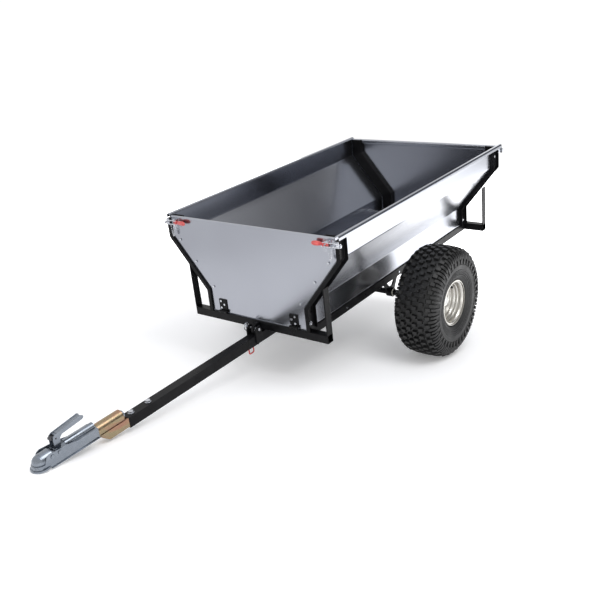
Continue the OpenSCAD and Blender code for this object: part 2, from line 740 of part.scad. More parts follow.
// Radius and offset from the wheel's middle, outside then inside
tyre_side = [[flange_r - 16, rim_half_w - 12], [flange_r - 3, rim_half_w - 10],
    [flange_r + 22, tyre_half_w - 10], [flange_r + 62, tyre_half_w], [tyre_r - 46, tyre_half_w],
    [tyre_r - 14, tyre_half_w - 6], [tyre_r, tyre_half_w - 26]];
module tyre() {
    other_side = [for (p = reversed(tyre_side)) [p.x, -p.y]];
    whole = rounded(concat(tyre_side, other_side), 5, 2);
    color(RUBBER) place() about_x(wheel_x) strip(whole, 0, 9);
}
module rim() {
    seat = flange_r - 16;
    well = flange_r - 29;
    half = [[flange_r - 5, rim_half_w], [flange_r, rim_half_w - 3], [flange_r - 4, rim_half_w - 9],
        [seat, rim_half_w - 12], [seat - 2, 58], [well, 48]];
    path = concat(half, [for (p = reversed(half)) [p.x, -p.y]]);
    color(SILVER) place() difference() {
        about_x(wheel_x) {
            strip(path, 1, 3.5);
            polygon([[29, 22], [well - 12, 22], [well - 2, 30], [well - 2, 34], [well - 14, 25],
                [29, 25]]);
        }
        for (a = [0 : 90 : 270]) rotate([a + 45, 0, 0]) rod_x(wheel_x + 15, wheel_x + 30, 50, 0, 6.5);
    }
}
module hub() {
    color(SILVER) place() difference() {
        union() {
            about_x(wheel_x) polygon([[14, -40], [32, -40], [32, 12], [64, 14], [64, 22], [29, 22],
                [29, 26], [14, 26]]);
            for (a = [0 : 90 : 270]) rotate([a + 45, 0, 0]) {
                rod_x(wheel_x + 16, wheel_x + 36, 50, 0, 6);
                translate([wheel_x + 25, 50, 0]) rotate([0, 90, 0]) hex_head(10, 9);
            }
        }
        for (x = [-41, 12]) rod_x(wheel_x + x, wheel_x + x + 15, 0, 0, 26);
        rod_x(wheel_x - 50, wheel_x + 50, 0, 0, spindle_r + 4);
    }
}
module bearings() {
    color([0.55, 0.56, 0.58]) place() for (x = [-40, 12]) difference() {
        rod_x(wheel_x + x, wheel_x + x + 14, 0, 0, 26);
        rod_x(wheel_x + x - 1, wheel_x + x + 15, 0, 0, spindle_r + run_gap);
    }
}
module hub_cap() {
    color([0.9, 0.9, 0.9]) place() about_x(wheel_x)
        polygon([[21, 26], [28, 26], [28, 30], [25, 32], [24, 46], [20, 49], [0, 50], [0, 47],
            [19, 46], [21, 43]]);
}
// A left part is the right one mirrored through the middle of the cart
module left_half() { mirror([1, 0, 0]) children(); }
module tyre_left() { left_half() tyre(); }
module rim_left() { left_half() rim(); }
module hub_left() { left_half() hub(); }
module bearings_left() { left_half() bearings(); }
module hub_cap_left() { left_half() hub_cap(); }
module tyre_right() { tyre(); }
module rim_right() { rim(); }
module hub_right() { hub(); }
module bearings_right() { bearings(); }
module hub_cap_right() { hub_cap(); }

tub_shell();
front_crossbar();
rear_crossbar();
side_rails();
cross_members();
axle_brackets();
pivot_bushes();
front_corner_straps();
rear_corner_straps();
end_posts();
gate_hinge_knuckles();
latch_keepers();
latch_tongue();
frame_bolts();
front_gate_sheet();
front_gate_frame();
front_gate_hinges();
front_gate_bolts();
front_latch_bases();
rear_gate_sheet();
rear_gate_frame();
rear_gate_hinges();
rear_gate_bolts();
rear_latch_bases();
latch_lever_fl();
latch_lever_fr();
latch_lever_rl();
latch_lever_rr();
latch_bail_fl();
latch_bail_fr();
latch_bail_rl();
latch_bail_rr();
axle_bar();
axle_nuts();
axle_saddle();
drawbar_tube();
swivel_bracket();
swivel_housing();
drawbar_bolts();
latch_lugs();
handle_tab();
tip_lock_pin();
release_handle();
coupler_shell();
swivel_shank();
coupler_rivets();
coupler_lever();
ball_jaw();
safety_catch();
tyre_left();
rim_left();
hub_left();
bearings_left();
hub_cap_left();
tyre_right();
rim_right();
hub_right();
bearings_right();
hub_cap_right();
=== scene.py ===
import json
import math
import bmesh
import bpy
import numpy as np
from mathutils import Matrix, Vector


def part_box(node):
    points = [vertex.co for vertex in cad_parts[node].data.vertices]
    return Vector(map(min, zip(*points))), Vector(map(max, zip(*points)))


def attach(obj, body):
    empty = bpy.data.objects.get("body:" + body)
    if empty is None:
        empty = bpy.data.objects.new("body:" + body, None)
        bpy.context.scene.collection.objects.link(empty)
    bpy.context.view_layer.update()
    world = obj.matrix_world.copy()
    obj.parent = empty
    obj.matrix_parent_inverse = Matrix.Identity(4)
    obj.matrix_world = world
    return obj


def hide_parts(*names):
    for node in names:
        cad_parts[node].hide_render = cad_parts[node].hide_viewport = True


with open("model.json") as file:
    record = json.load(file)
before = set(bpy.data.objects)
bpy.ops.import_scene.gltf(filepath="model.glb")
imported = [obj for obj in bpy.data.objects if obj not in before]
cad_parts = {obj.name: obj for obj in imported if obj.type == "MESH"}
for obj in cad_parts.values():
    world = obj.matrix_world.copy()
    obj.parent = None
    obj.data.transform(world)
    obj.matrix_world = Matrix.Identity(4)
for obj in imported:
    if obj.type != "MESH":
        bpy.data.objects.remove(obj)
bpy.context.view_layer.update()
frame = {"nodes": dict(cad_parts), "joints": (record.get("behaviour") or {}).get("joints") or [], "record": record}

joints = {j["name"]: j for j in frame["joints"]}
bodyOf = {n: b for b, ns in frame["record"]["behaviour"]["bodies"].items() for n in ns}
slotOf = {s["node"]: s["material_slot"] for s in frame["record"]["subparts"]}

# The whole cart is pitched about its axle. "Level" places are x, y and z from the axle's centre,
# measured square to the tub, and are turned into the frame's places by toRow.
axle = np.array(joints["wheel_right_spin"]["pos_m"]) * [0, 1, 1]
alongBar = np.array(joints["coupler_swivel"]["axis"])
upBar = np.array([0.0, -alongBar[2], alongBar[1]])


def toRow(p):  # level place, or an array of them, to the frame
    p = np.asarray(p, float)
    return axle + p[..., :1] * [1, 0, 0] + p[..., 1:2] * alongBar + p[..., 2:3] * upBar


def toLevel(p):  # the frame's place to a level one
    d = np.asarray(p, float) - axle
    return np.stack([d[..., 0], d @ alongBar, d @ upBar], -1)


def levelBox(node):  # lowest and highest corner of a CAD node, squared to the tub
    mesh = frame["nodes"][node].data
    co = np.zeros(len(mesh.vertices) * 3)
    mesh.vertices.foreach_get("co", co)
    co = toLevel(co.reshape(-1, 3))
    return co.min(0), co.max(0)


def newMaterial(name, colour, rough, metal=0.0):
    mat = bpy.data.materials.new(name)
    mat.use_nodes = True
    nodes, links = mat.node_tree.nodes, mat.node_tree.links
    shader = nodes["Principled BSDF"]
    shader.inputs["Base Color"].default_value = (*colour, 1)
    shader.inputs["Roughness"].default_value = rough
    shader.inputs["Metallic"].default_value = metal
    coords = nodes.new("ShaderNodeTexCoord").outputs["Object"]
    return mat, nodes, links, shader, coords


def noiseOf(nodes, links, coords, scale, detail=3.0, stretch=None):
    if stretch:
        mapping = nodes.new("ShaderNodeMapping")
        mapping.inputs["Scale"].default_value = stretch
        links.new(coords, mapping.inputs["Vector"])
        coords = mapping.outputs["Vector"]
    tex = nodes.new("ShaderNodeTexNoise")
    tex.inputs["Scale"].default_value = scale
    tex.inputs["Detail"].default_value = detail
    links.new(coords, tex.inputs["Vector"])
    return tex.outputs["Fac"]


def rampOf(nodes, links, fac, stops):  # stops are (place, colour)
    ramp = nodes.new("ShaderNodeValToRGB")
    points = ramp.color_ramp.elements
    while len(points) < len(stops):
        points.new(0.5)
    for point, (place, colour) in zip(points, stops):
        point.position = place
        point.color = (*colour, 1) if len(colour) == 3 else colour
    links.new(fac, ramp.inputs["Fac"])
    return ramp.outputs["Color"]


def tint(nodes, links, shader, fac, stops):
    links.new(rampOf(nodes, links, fac, stops), shader.inputs["Base Color"])


def spread(nodes, links, fac, low, high, lowIn=0.3, highIn=0.7):
    node = nodes.new("ShaderNodeMapRange")
    for key, value in (("From Min", lowIn), ("From Max", highIn), ("To Min", low),
            ("To Max", high)):
        node.inputs[key].default_value = value
    links.new(fac, node.inputs["Value"])
    return node.outputs["Result"]


def vectorValue(nodes, links, operation, vector, other=None):
    node = nodes.new("ShaderNodeVectorMath")
    node.operation = operation
    links.new(vector, node.inputs[0])
    if other:
        node.inputs[1].default_value = other
    return node.outputs["Value"]


def combined(nodes, links, operation, a, b):
    node = nodes.new("ShaderNodeMath")
    node.operation = operation
    links.new(a, node.inputs[0])
    links.new(b, node.inputs[1])
    return node.outputs["Value"]


def bumpOf(nodes, links, shader, height, strength, distance, before=None):
    bump = nodes.new("ShaderNodeBump")
    bump.inputs["Strength"].default_value = strength
    bump.inputs["Distance"].default_value = distance
    links.new(height, bump.inputs["Height"])
    if before:
        links.new(before, bump.inputs["Normal"])
    links.new(bump.outputs["Normal"], shader.inputs["Normal"])
    return bump.outputs["Normal"]


def galvanised():
    look = dict(light=(0.42, 0.435, 0.475), dark=(0.36, 0.37, 0.41), spangle=70, smear=1.3)
    mat, nodes, links, shader, coords = newMaterial("galvanisedSheet", look["light"], 0.27, 1.0)
    cell = nodes.new("ShaderNodeTexVoronoi")
    cell.inputs["Scale"].default_value = look["spangle"]
    links.new(coords, cell.inputs["Vector"])
    smear = noiseOf(nodes, links, coords, look["smear"], 5)
    mix = nodes.new("ShaderNodeMix")
    mix.inputs["Factor"].default_value = 0.02
    links.new(smear, mix.inputs["A"])
    links.new(cell.outputs["Color"], mix.inputs["B"])
    tint(nodes, links, shader, mix.outputs["Result"], [(0.3, look["dark"]), (0.7, look["light"])])
    links.new(spread(nodes, links, smear, 0.19, 0.23), shader.inputs["Roughness"])
    bumpOf(nodes, links, shader, noiseOf(nodes, links, coords, 300, 1), 0.02, 0.0002)
    return mat


def blackPaint():
    mat, nodes, links, shader, coords = newMaterial("blackPowderCoat", (0.004, 0.004, 0.0045), 0.3)
    dust = noiseOf(nodes, links, coords, 14, 6)
    tint(nodes, links, shader, dust, [(0.35, (0.003, 0.003, 0.0035)), (0.8, (0.008, 0.008, 0.009))])
    links.new(spread(nodes, links, dust, 0.24, 0.42), shader.inputs["Roughness"])
    shader.inputs["Specular IOR Level"].default_value = 0.12
    bumpOf(nodes, links, shader, noiseOf(nodes, links, coords, 700, 2), 0.12, 0.0004)
    return mat


def platedMetal(name, light, dark, roughLow, roughHigh, scale=24, grain=(1, 1, 1)):
    mat, nodes, links, shader, coords = newMaterial(name, light, roughLow, 1.0)
    cloud = noiseOf(nodes, links, coords, scale, 6)
    tint(nodes, links, shader, cloud, [(0.3, dark), (0.72, light)])
    streak = noiseOf(nodes, links, coords, 180, 4, grain)
    links.new(spread(nodes, links, streak, roughLow, roughHigh), shader.inputs["Roughness"])
    bumpOf(nodes, links, shader, noiseOf(nodes, links, coords, 900, 2, grain), 0.1, 0.0003)
    return mat


def yellowChromate():
    mat, nodes, links, shader, coords = newMaterial("yellowChromate", (0.85, 0.66, 0.45), 0.25, 1.0)
    sheen = noiseOf(nodes, links, coords, 17, 3, (1, 0.6, 2.2))
    tint(nodes, links, shader, sheen, [(0.3, (0.36, 0.20, 0.14)), (0.46, (0.37, 0.235, 0.15)),
        (0.56, (0.31, 0.26, 0.16)), (0.72, (0.33, 0.19, 0.15))])
    links.new(spread(nodes, links, noiseOf(nodes, links, coords, 60, 4), 0.2, 0.36),
        shader.inputs["Roughness"])
    bumpOf(nodes, links, shader, noiseOf(nodes, links, coords, 800, 2), 0.06, 0.0003)
    return mat


def redCoating():
    mat, nodes, links, shader, coords = newMaterial("redDip", (0.5, 0.045, 0.045), 0.3)
    cloud = noiseOf(nodes, links, coords, 60, 4)
    tint(nodes, links, shader, cloud, [(0.3, (0.42, 0.03, 0.035)), (0.7, (0.60, 0.09, 0.08))])
    links.new(spread(nodes, links, cloud, 0.22, 0.4), shader.inputs["Roughness"])
    shader.inputs["Coat Weight"].default_value = 0.4
    bumpOf(nodes, links, shader, noiseOf(nodes, links, coords, 260, 2), 0.15, 0.0005)
    return mat


def rubber(name, dark, light, roughLow, roughHigh, grainBump=0.25):
    mat, nodes, links, shader, coords = newMaterial(name, dark, roughHigh)
    dust = noiseOf(nodes, links, coords, 16, 7)
    tint(nodes, links, shader, dust, [(0.35, dark), (0.75, light)])
    links.new(spread(nodes, links, dust, roughLow, roughHigh), shader.inputs["Roughness"])
    bumpOf(nodes, links, shader, noiseOf(nodes, links, coords, 480, 4), grainBump, 0.0006)
    return mat


def plastic(name, colour, shade, rough):
    mat, nodes, links, shader, coords = newMaterial(name, colour, rough)
    cloud = noiseOf(nodes, links, coords, 45, 5)
    tint(nodes, links, shader, cloud, [(0.3, shade), (0.7, colour)])
    links.new(spread(nodes, links, cloud, rough - 0.08, rough + 0.08), shader.inputs["Roughness"])
    bumpOf(nodes, links, shader, noiseOf(nodes, links, coords, 600, 2), 0.08, 0.0003)
    return mat


finish = {
    "galvanised": galvanised(),
    "frame_black": blackPaint(),
    "bush_nylon": plastic("naturalNylon", (0.78, 0.76, 0.68), (0.66, 0.64, 0.56), 0.5),
    "bright_zinc": platedMetal("brightZinc", (0.66, 0.67, 0.70), (0.5, 0.52, 0.56), 0.2, 0.32, 40),
    "red_coating": redCoating(),
    "yellow_zinc": yellowChromate(),
    "coupler_zinc": platedMetal("blueWhiteZinc", (0.27, 0.295, 0.33), (0.21, 0.235, 0.27), 0.22,
        0.32, 18, (1, 0.15, 1)),
    "dark_steel": platedMetal("darkSteel", (0.13, 0.13, 0.14), (0.06, 0.06, 0.065), 0.3, 0.5),
    "tyre_rubber": rubber("treadRubber", (0.003, 0.003, 0.0032), (0.008, 0.008, 0.0085), 0.45, 0.6),
    "rim_silver": platedMetal("silverRim", (0.60, 0.585, 0.55), (0.50, 0.485, 0.455), 0.26, 0.34,
        12),
    "bearing_steel": platedMetal("groundSteel", (0.55, 0.56, 0.58), (0.42, 0.43, 0.45), 0.2, 0.35),
    "cap_white": plastic("whiteCap", (0.82, 0.82, 0.8), (0.72, 0.72, 0.7), 0.3),
}
# The sidewall's rubber is painted lighter than the tread's: a painted sheen, standing in for the light its gloss
# reflects
paintedSheenSideRubber = rubber("sidewallPaintedSheenRubber", (0.030, 0.030, 0.031), (0.055, 0.055, 0.057), 0.28, 0.38, 0.1)
grooveRubber = rubber("grooveRubber", (0.028, 0.028, 0.029), (0.05, 0.05, 0.052), 0.4, 0.5, 0.1)
print("materials ready")


# Joins parts into one piece. A part is (places, faces) or (places, faces, material index).
def makePiece(name, parts, slot, body, smooth=35, replaces=(), extra=None):
    verts, faces, picks, start = [], [], [], 0
    for part in parts:
        places, quads = np.asarray(part[0]).reshape(-1, 3), part[1]
        verts.append(places)
        faces += [[i + start for i in f] for f in quads]
        picks += [part[2] if len(part) > 2 else 0] * len(quads)
        start += len(places)
    mesh = bpy.data.meshes.new(name)
    mesh.from_pydata(np.concatenate(verts).tolist(), [], faces)
    mesh.polygons.foreach_set("material_index", picks)
    return finishPiece(bpy.data.objects.new(name, mesh), slot, body, smooth, replaces, extra)


def finishPiece(piece, slot, body, smooth, replaces, extra):
    mesh = piece.data
    if piece.name not in bpy.context.scene.collection.objects:
        bpy.context.scene.collection.objects.link(piece)
    mesh.materials.clear()
    for mat in [finish[slot]] + (extra or []):
        mesh.materials.append(mat)
    turned = bmesh.new()
    turned.from_mesh(mesh)
    bmesh.ops.recalc_face_normals(turned, faces=turned.faces)
    turned.to_mesh(mesh)
    turned.free()
    mesh.shade_smooth()
    mesh.set_sharp_from_angle(angle=math.radians(smooth))
    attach(piece, body)
    if replaces:
        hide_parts(*replaces)
    return piece


# Quads of a grid whose places are laid out row by row; either way round may close on itself
def gridFaces(rows, cols, wrapRows=False, wrapCols=False):
    i = np.arange(rows if wrapRows else rows - 1)[:, None]
    j = np.arange(cols if wrapCols else cols - 1)[None, :]
    a, b = i * cols + j, i * cols + (j + 1) % cols
    c, d = ((i + 1) % rows) * cols + (j + 1) % cols, ((i + 1) % rows) * cols + j
    return np.stack([a, b, c, d], -1).reshape(-1, 4).tolist()


def borderOf(m, n):  # the places round the outside of an m by n grid, in order
    return np.concatenate([np.arange(n), np.arange(2 * n - 1, m * n, n),
        np.arange(m * n - 2, (m - 1) * n - 1, -1), np.arange((m - 2) * n, 0, -n)])


def closedSheet(outside, inside):  # two grids of places, joined round their edges
    m, n = outside.shape[:2]
    quads = np.array(gridFaces(m, n))
    ring = borderOf(m, n)
    after = np.roll(ring, -1)
    edge = np.stack([ring, ring + m * n, after + m * n, after], 1)
    places = np.concatenate([outside.reshape(-1, 3), inside.reshape(-1, 3)])
    return places, np.concatenate([quads, quads[:, ::-1] + m * n, edge]).tolist()


# Every inner corner of an open path becomes an arc that touches both of its sides
def roundPath(points, radii, steps=6):
    p = np.asarray(points, float)
    out = [p[:1]]
    for a, b, c, radius in zip(p[:-2], p[1:-1], p[2:], np.broadcast_to(radii, len(p) - 2)):
        u, v = (a - b) / np.linalg.norm(a - b), (c - b) / np.linalg.norm(c - b)
        half = math.acos(np.clip(u @ v, -1, 1)) / 2
        reach = radius / math.tan(half)
        t = np.linspace(0, 1, steps + 1)[:, None]
        ends = b + u * reach, b + v * reach
        middle = b + (u + v) / np.linalg.norm(u + v) * radius / math.sin(half)
        chord = ends[0] * (1 - t) + ends[1] * t - middle
        out.append(middle + chord / np.linalg.norm(chord, axis=1, keepdims=True) * radius)
    return np.concatenate(out + [p[-1:]])


# The path moved d to its right, mitred at its corners
def offsetPath(p, d):
    e = np.diff(p, axis=0)
    e /= np.linalg.norm(e, axis=1, keepdims=True)
    u, v = np.vstack([e[:1], e]), np.vstack([e, e[-1:]])
    m = u + v
    return p + np.stack([m[:, 1], -m[:, 0]], 1) / (m * m).sum(1)[:, None] * 2 * d


# A path carried along stations as a closed sheet: an outside, an inside, and four edges
def sheetParts(path, thick, stations, place, ripple=None):
    outer, inner = path, offsetPath(path, thick)
    n, m = len(path), len(stations)
    away = (inner - outer) / thick
    shift = ripple(np.arange(n) / (n - 1), stations) if ripple else np.zeros((m, n))
    skins = []
    for side in (outer, inner):
        flat = side[None] + away[None] * shift[..., None]
        skins.append(place(flat[..., 0], np.broadcast_to(stations[:, None], (m, n)), flat[..., 1]))
    return closedSheet(*skins)


def levelPlace(x, y, z):
    return toRow(np.stack([x, y, z], -1))


# A circle carried along a path of places. Its frame turns as little as it can, ring by ring
def tube(path, radius, sides=10, closed=False):
    p = np.asarray(path, float)
    step = np.roll(p, -1, 0) - np.roll(p, 1, 0) if closed else np.gradient(p, axis=0)
    t = step / np.linalg.norm(step, axis=1, keepdims=True)
    side = np.cross(t[0], [0.31, 0.17, 0.93])
    frames = []
    for way in t:
        side = side - way * (side @ way)
        side /= np.linalg.norm(side)
        frames.append((side, np.cross(way, side)))
    a, b = np.array([f[0] for f in frames]), np.array([f[1] for f in frames])
    angle = np.linspace(0, 2 * np.pi, sides, endpoint=False)
    r = np.broadcast_to(np.asarray(radius, float), (len(p),))[:, None, None]
    rings = p[:, None] + r * (np.cos(angle)[None, :, None] * a[:, None]
        + np.sin(angle)[None, :, None] * b[:, None])
    faces = gridFaces(len(p), sides, wrapRows=closed, wrapCols=True)
    if not closed:
        last = (len(p) - 1) * sides
        faces += [list(range(sides))[::-1], list(range(last, last + sides))]
    return rings.reshape(-1, 3), faces


# A closed outline of (radius, offset) turned about the axle's direction at centre
def revolved(profile, centre, steps=96):
    profile = np.asarray(profile, float)
    angle = np.linspace(0, 2 * np.pi, steps, endpoint=False)[:, None]
    r, off = profile[None, :, 0], profile[None, :, 1]
    places = np.stack([centre[0] + np.sign(centre[0]) * off + 0 * angle,
        centre[1] + r * np.cos(angle), centre[2] + r * np.sin(angle)], -1)
    return places.reshape(-1, 3), gridFaces(steps, len(profile), True, True)


# Closed rings of places joined one to the next, with both ends filled
def loft(sections):
    s = np.asarray(sections)
    rows, cols = s.shape[:2]
    last = (rows - 1) * cols
    return s.reshape(-1, 3), gridFaces(rows, cols, wrapCols=True) + [list(range(cols))[::-1],
        list(range(last, last + cols))]


# The CAD node's own shape with its edges rolled over, merged into one clean skin first
def softened(node, width=0.0012, segments=2):
    skin = bpy.data.objects.new(node.replace("_", " ").title().replace(" ", "") + "Skin",
        frame["nodes"][node].data.copy())
    shape = bmesh.new()
    shape.from_mesh(skin.data)
    bmesh.ops.remove_doubles(shape, verts=shape.verts, dist=0.00002)
    bmesh.ops.dissolve_limit(shape, angle_limit=math.radians(1.5), verts=shape.verts,
        edges=shape.edges, delimit=set())
    shape.to_mesh(skin.data)
    shape.free()
    bpy.context.scene.collection.objects.link(skin)
    bevel = skin.modifiers.new("rolledEdges", "BEVEL")
    bevel.width = width
    bevel.segments = segments
    bevel.limit_method = "ANGLE"
    bevel.angle_limit = math.radians(32)
    bevel.use_clamp_overlap = True
    return finishPiece(skin, slotOf[node], bodyOf[node], 40, (node,), None)


tub = dict(upperBend=0.473, lowerBend=0.225, sheet=0.002, rim=0.020, lip=0.020, bendRadius=0.012,
    rimRadius=0.0088, ripple=0.00022)
tubLow, tubHigh = levelBox("tub_shell")
halfTop, rimTop, floorUnder = tubHigh[0], tubHigh[2], tubLow[2]
floorHalf = levelBox("side_rails")[1][0]
wallX = halfTop - tub["rim"]


def wallPath(start, end):
    return np.array([[wallX, start], [wallX, tub["upperBend"]], [floorHalf, tub["lowerBend"]],
        [floorHalf, end]])


def panelRipple(u, y):  # gentle unevenness of rolled sheet: slow waves along, slower ones across
    u, y = u[None, :], y[:, None]
    waves = np.sin(7.1 * y + 9 * u) * np.sin(17 * u + 1.3) + 0.6 * np.sin(3.3 * y - 21 * u + 0.4)
    return tub["ripple"] * waves * np.sin(np.pi * (y - y[0]) / (y[-1] - y[0])) ** 0.5


# The right half's bent profile and its mirror image, carried from the front to the rear
def makeTub():
    t = tub["sheet"]
    half = wallPath(rimTop - t, floorUnder)
    side = np.vstack([[[halfTop - t, rimTop - tub["lip"]], [halfTop - t, rimTop - t]], half,
        [[0, floorUnder]]])
    bent = roundPath(side, [tub["rimRadius"]] * 2 + [tub["bendRadius"]] * 3, 8)
    # Flat stretches get points of their own, so that the ripple has something to move
    fine = [bent[:1]]
    for a, b in zip(bent[:-1], bent[1:]):
        count = max(1, int(np.linalg.norm(b - a) / 0.03))
        fine.append(a + (b - a) * (np.arange(1, count + 1) / count)[:, None])
    right = np.concatenate(fine)
    whole = np.vstack([right, (right[:-1] * [-1, 1])[::-1]])
    stations = np.linspace(tubLow[1], tubHigh[1], 60)
    makePiece("tubSheet", [sheetParts(whole, t, stations, levelPlace, panelRipple)], "galvanised",
        "tub", 30, ["tub_shell"])


makeTub()
print("tub ready")


gate = dict(sheet=0.002, gap=0.003, hem=0.022, hemDepth=0.013, ripple=0.00018, proud=0.0006,
    columns=33, rows=28)


# The face is a grid whose width follows the tub's wall; its edges fold inwards
def makeGate(end):
    low, high = levelBox(end + "_gate_sheet")
    out = -1 if end == "front" else 1
    face = low[1] if end == "front" else high[1]
    depth = high[1] - low[1]
    edge = offsetPath(wallPath(high[2], low[2]), tub["sheet"] + gate["gap"])
    edge = roundPath(edge, tub["bendRadius"], 8)
    z = np.unique(np.concatenate([edge[:, 1], np.linspace(low[2], high[2], gate["rows"])]))
    halfAt = np.interp(z, edge[::-1, 1], edge[::-1, 0])
    u = np.linspace(-1, 1, gate["columns"])
    x, zz = u[None] * halfAt[:, None], np.broadcast_to(z[:, None], (len(z), len(u)))
    bulge = gate["ripple"] * (np.sin(6.3 * x + 2) * np.sin(11 * zz) + 0.5 * np.sin(13 * x - 9 * zz))
    bulge *= (1 - u[None] ** 2) * np.sin(np.pi * (zz - low[2]) / (high[2] - low[2])) ** 0.4
    skins = [levelPlace(x, face - out * (d + bulge + gate["proud"]), zz)
        for d in (0, gate["sheet"])]
    parts = [closedSheet(*skins)]
    deep = np.array([face - out * 2 * gate["proud"], face - out * depth])
    for s in (1, -1):
        flange = (edge * [s, 1])[::s]
        parts.append(sheetParts(flange, gate["sheet"], np.sort(deep), levelPlace))
    # The top edge folds in and down as a small closed roll
    t, d = gate["sheet"] / 2, gate["hemDepth"]
    roll = [[face - out * 0.001, high[2] - t], [face - out * d, high[2] - t],
        [face - out * d, high[2] - gate["hem"]],
        [face - out * 0.003, high[2] - gate["hem"] - 0.004]]
    roll = roundPath(roll, 0.004, 5)
    across = np.linspace(-edge[0][0], edge[0][0], 12)
    parts.append(sheetParts(roll, gate["sheet"], across, lambda y, x, z: levelPlace(x, y, z)))
    makePiece(end + "GateSheet", parts, "galvanised", end + "_gate", 30, [end + "_gate_sheet"])


for gateEnd in ("front", "rear"):
    makeGate(gateEnd)
print("gates ready")


# Frame and fasteners are the CAD shapes with rolled edges, by the width of the roll
rolledEdge = {
    0.0022: ["front_crossbar", "rear_crossbar", "side_rails", "cross_members", "drawbar_tube",
        "front_corner_straps", "rear_corner_straps"],
    0.0012: ["end_posts", "axle_brackets", "front_gate_frame", "rear_gate_frame", "axle_saddle",
        "latch_lugs", "latch_tongue", "handle_tab", "gate_hinge_knuckles", "front_gate_hinges",
        "rear_gate_hinges", "swivel_bracket", "swivel_housing", "axle_nuts", "drawbar_bolts",
        "tip_lock_pin", "safety_catch", "ball_jaw", "frame_bolts", "hub_left", "hub_right"],
    0.0007: ["front_gate_bolts", "rear_gate_bolts", "front_latch_bases", "rear_latch_bases",
        "latch_keepers", "coupler_rivets", "coupler_lever", "swivel_shank", "coupler_shell"],
}
for rollWidth, names in rolledEdge.items():
    for rolledNode in names:
        softened(rolledNode, rollWidth)
for plainNode in ("axle_bar", "pivot_bushes", "bearings_left", "bearings_right", "hub_cap_left",
        "hub_cap_right"):
    frame["nodes"][plainNode].data.materials.clear()
    frame["nodes"][plainNode].data.materials.append(finish[slotOf[plainNode]])
print("frame ready")


tyreLook = dict(carcass=0.2665, crownHalf=0.108, crownDrop=0.010, shoulderDrop=0.034,
    sideRings=(0.137, 0.146, 0.155, 0.164), ringHigh=0.0018, sideEnd=0.1955, root=0.003,
    knobs=40, knobHalf=(0.0135, 0.0105), knobRows=6, rowStep=0.0305, taper=0.80, lean=0.5,
    lugs=80, lugHalf=(0.0082, 0.0066), lugStart=0.196, lugHigh=0.0042, lugTaper=0.78)
rimLook = dict(flange=0.117, seat=0.101, well=0.086, wall=0.003, disc=0.0025)


# How far the tread lies below its middle at an offset: round, dropping fast to the sides
def crownAt(off):
    share = np.clip(np.abs(off) / tyreLook["crownHalf"], 0, 1)
    return -tyreLook["crownDrop"] * share ** 2 - tyreLook["shoulderDrop"] * share ** 7


# One tread block on a small grid: a flat top, and sides that spread downwards
def knobBlock(taper, rows=4):
    s = np.linspace(-1, 1, rows + 2)
    a, b = np.meshgrid(s, s, indexing="ij")
    foot = np.maximum(np.abs(a), np.abs(b)) > 0.99
    size, height = np.where(foot, 1.0, taper / s[-2]), np.where(foot, 0.0, 1.0)
    underside = borderOf(rows + 2, rows + 2)[::-1].tolist()
    return np.stack([a * size, b * size, height], -1).reshape(-1, 3), \
        gridFaces(rows + 2, rows + 2) + [underside]


# Places at an offset, a radius and a turn about a wheel's axle
def aroundWheel(centre, offs, rad, turn):
    x = np.broadcast_to(centre[0] + np.sign(centre[0]) * offs, turn.shape)
    return np.stack([x, centre[1] + rad * np.cos(turn), centre[2] + rad * np.sin(turn)], -1)


# The outline as (radius, offset) from bead to bead, over the crown and back inside, turned about
# the axle. Its sidewalls, tread grooves and inside are three parts, each with its own rubber; the
# sidewalls' rubber is painted lighter than the tread's, a painted sheen.
def tyreCarcass(centre):
    high, end, crownHalf = tyreLook["ringHigh"], tyreLook["sideEnd"], tyreLook["crownHalf"]
    side = [[rimLook["seat"], 0.083], [0.118, 0.086], [0.121, 0.0935], [0.130, 0.0985]]
    for ring in tyreLook["sideRings"]:  # fine raised rings on a sidewall that swells outwards
        swell = 0.1025 + 0.006 * math.sin((ring - 0.137) / 0.06 * math.pi)
        side += [[ring, swell], [ring + 0.0015, swell + high], [ring + 0.0045, swell + high],
            [ring + 0.006, swell]]
    side += [[0.178, 0.1095], [0.190, 0.1095], [0.193, 0.1112], [0.196, 0.1085], [0.232, 0.1035]]
    side = np.array(side)
    t = np.linspace(0.93, -0.93, 27)
    crown = np.stack([tyreLook["carcass"] + crownAt(t * crownHalf), t * crownHalf], 1)
    outline = np.vstack([roundPath(side, 0.0006, 2), crown,
        roundPath((side * [1, -1])[::-1], 0.0006, 2)])
    inner = np.array([[0.101, -0.075], [0.125, -0.088], [0.19, -0.098], [0.235, -0.09],
        [0.253, -0.05]])
    inner = np.vstack([inner, [[0.2555, 0.0]], (inner * [1, -1])[::-1]])
    closed = np.vstack([outline, inner])
    places, faces = revolved(closed, centre, 144)
    faces = np.array(faces)
    first = faces.min(1) % len(closed)
    radius, outside = closed[first, 0], first < len(outline)
    groove = outside & (radius >= end)
    wall = outside & (radius < end)
    return [(places, faces[wall].tolist(), 1), (places, faces[groove].tolist(), 2),
        (places, faces[~(wall | groove)].tolist(), 0)]


# Blocks in rows across the tread, each row half a step on from the last; outer rows lean outwards
def tyreKnobs(centre, tyreR):
    look, root = tyreLook, tyreLook["root"]
    block, blockFaces = knobBlock(look["taper"])
    block = block * [*look["knobHalf"], tyreR - look["carcass"] + root]
    step = 2 * np.pi / look["knobs"]
    parts = []
    for row in range(look["knobRows"]):
        off = (row - (look["knobRows"] - 1) / 2) * look["rowStep"]
        lean = abs(off) ** 3 / 0.0763 ** 3 * look["lean"] * np.sign(off)
        offs = off + block[:, 0] * math.cos(lean) + block[:, 2] * math.sin(lean)
        rad = look["carcass"] + crownAt(off) - root - block[:, 0] * math.sin(lean) \
            + block[:, 2] * math.cos(lean)
        for i in range(look["knobs"]):
            turn = step * (i + (row % 2) / 2) + block[:, 1] / tyreR
            parts.append((aroundWheel(centre, offs, rad, turn), blockFaces, 0))
    return parts


